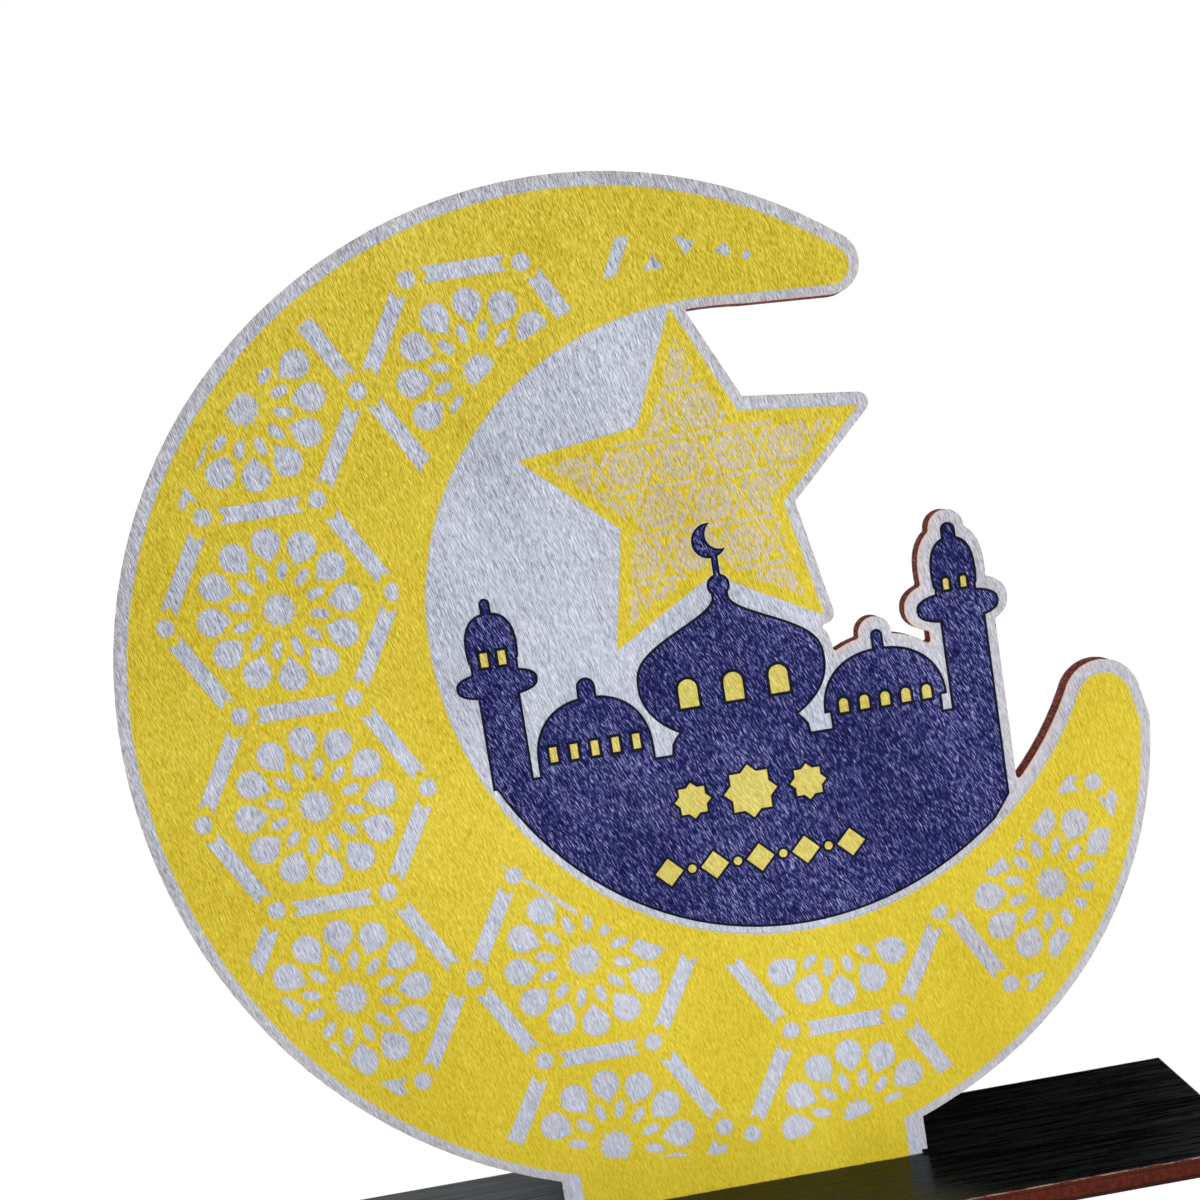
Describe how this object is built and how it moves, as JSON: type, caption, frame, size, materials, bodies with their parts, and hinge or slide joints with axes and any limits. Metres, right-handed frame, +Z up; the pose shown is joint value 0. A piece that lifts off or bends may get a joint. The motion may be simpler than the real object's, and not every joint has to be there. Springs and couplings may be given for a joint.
{
  "type": "standing crescent ornament",
  "caption": "Flat wooden crescent with a star and a mosque skyline, printed on the front, its tab set in the slot of a long black foot.",
  "frame": {"origin": "middle of the underside of the base board, which rests on the table", "axes": "+X along the base to the viewer's right when the print is seen, +Y from the printed face towards the plain back, +Z up"},
  "size_m": [0.1502, 0.031, 0.1537],
  "materials": {
    "base_ply": "laser-charred edge",
    "base_core_ply": "laser-charred edge",
    "black_paint": "black satin paint over wood grain",
    "back_ply": "plain sanded plywood, charred at the cut edge",
    "core_ply": "laser-charred edge",
    "front_ply": "laser-charred edge",
    "pale_ink": "pale matt ink with the wood grain showing",
    "yellow_ink": "yellow matt ink with the wood grain showing",
    "blue_ink": "dark blue matt ink with the wood grain showing",
    "dark_ink": "near-black line"
  },
  "bodies": {
    "base": {"base_bottom_veneer": "base_ply", "base_core": "base_core_ply", "base_top_veneer": "base_ply", "base_paint": "black_paint"},
    "panel": {"panel_back_veneer": "back_ply", "panel_core": "core_ply", "panel_front_veneer": "front_ply", "ground_coat": "pale_ink", "crescent_print": "yellow_ink", "star_print": "yellow_ink", "mosque_print": "blue_ink", "window_print": "yellow_ink", "ornament_print": "yellow_ink", "outline_print": "dark_ink"}
  },
  "joints": [
    {"name": "panel_lift", "type": "slide", "parent": "base", "child": "panel", "axis": [0, 0, 1], "range_m": [0, 0.012]}
  ]
}
